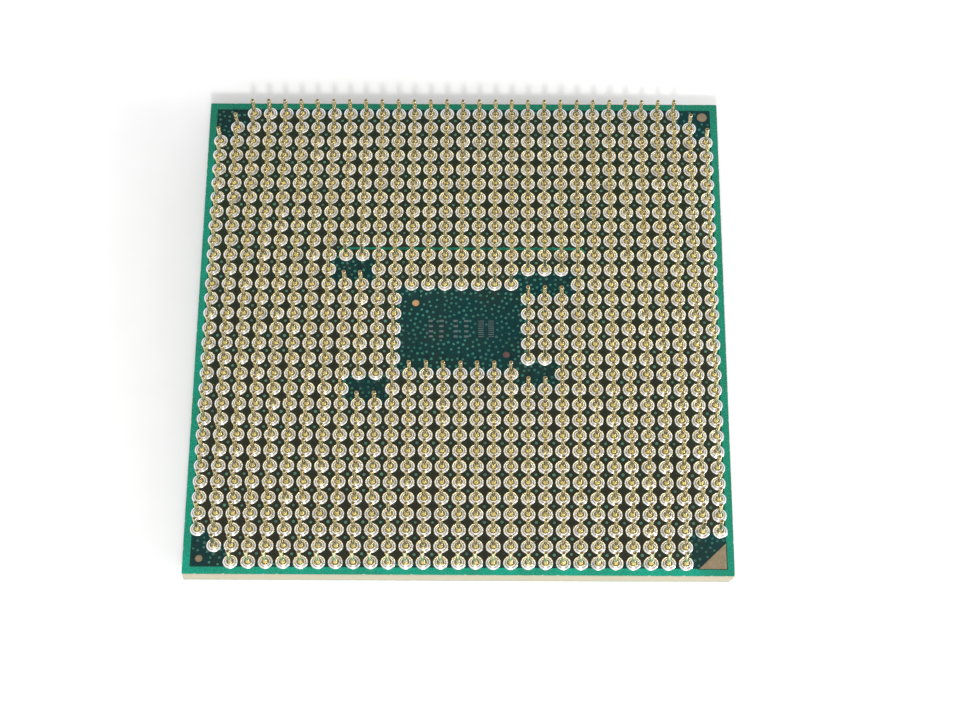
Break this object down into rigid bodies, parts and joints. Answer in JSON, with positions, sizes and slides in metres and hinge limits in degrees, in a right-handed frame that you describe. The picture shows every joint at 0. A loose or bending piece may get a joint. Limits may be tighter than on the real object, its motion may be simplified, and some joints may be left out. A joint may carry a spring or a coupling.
{
  "type": "cpu processor",
  "caption": "Lidded pin grid array processor package, lying on its heat spreader with its gold pins up: square laminate substrate, die, seal and lid beneath.",
  "frame": {"origin": "centre of the lid's flat outer face, which is the lowest face of the part as it lies with its pins up", "axes": "+Z is the way the pins point, away from the lid; X and Y run along the sides of the square body; the corner with the gold triangle is at +X, -Y"},
  "size_m": [0.04, 0.04, 0.0062],
  "materials": {
    "gold_pins": "polished",
    "solder": "satin",
    "bare_marks": "satin",
    "solder_mask": "satin",
    "laminate": "matte",
    "lid_metal": "satin",
    "sealant": "matte",
    "thermal_solder": "satin",
    "silicon": "polished",
    "underfill": "satin",
    "capacitor": "matte"
  },
  "bodies": {
    "root": {"capacitor_far_1": "capacitor", "capacitor_far_2": "capacitor", "capacitor_left_1": "capacitor", "capacitor_left_2": "capacitor", "capacitor_left_3": "capacitor", "capacitor_near_1": "capacitor", "capacitor_near_2": "capacitor", "capacitor_right_1": "capacitor", "capacitor_right_2": "capacitor", "capacitor_right_3": "capacitor", "corner_triangle": "bare_marks", "die_underfill": "underfill", "fiducial_centre_left": "bare_marks", "fiducial_centre_right": "bare_marks", "fiducial_far_right": "bare_marks", "fiducial_near_left": "bare_marks", "heat_spreader_lid": "lid_metal", "lid_seal": "sealant", "pin_row_A": "gold_pins", "pin_row_AA": "gold_pins", "pin_row_AB": "gold_pins", "pin_row_AC": "gold_pins", "pin_row_AD": "gold_pins", "pin_row_AE": "gold_pins", "pin_row_AF": "gold_pins", "pin_row_AG": "gold_pins", "pin_row_AH": "gold_pins", "pin_row_AJ": "gold_pins", "pin_row_AK": "gold_pins", "pin_row_AL": "gold_pins", "pin_row_B": "gold_pins", "pin_row_C": "gold_pins", "pin_row_D": "gold_pins", "pin_row_E": "gold_pins", "pin_row_F": "gold_pins", "pin_row_G": "gold_pins", "pin_row_H": "gold_pins", "pin_row_J": "gold_pins", "pin_row_K": "gold_pins", "pin_row_L": "gold_pins", "pin_row_M": "gold_pins", "pin_row_N": "gold_pins", "pin_row_P_left": "gold_pins", "pin_row_P_right": "gold_pins", "pin_row_R_left": "gold_pins", "pin_row_R_right": "gold_pins", "pin_row_T_left": "gold_pins", "pin_row_T_right": "gold_pins", "pin_row_U_left": "gold_pins", "pin_row_U_right": "gold_pins", "pin_row_V_left": "gold_pins", "pin_row_V_right": "gold_pins", "pin_row_W_left": "gold_pins", "pin_row_W_right": "gold_pins", "pin_row_Y": "gold_pins", "silicon_die": "silicon", "solder_mask_lid_side": "solder_mask", "solder_mask_pin_side": "solder_mask", "substrate_core": "laminate", "thermal_interface": "thermal_solder"}
  },
  "joints": []
}
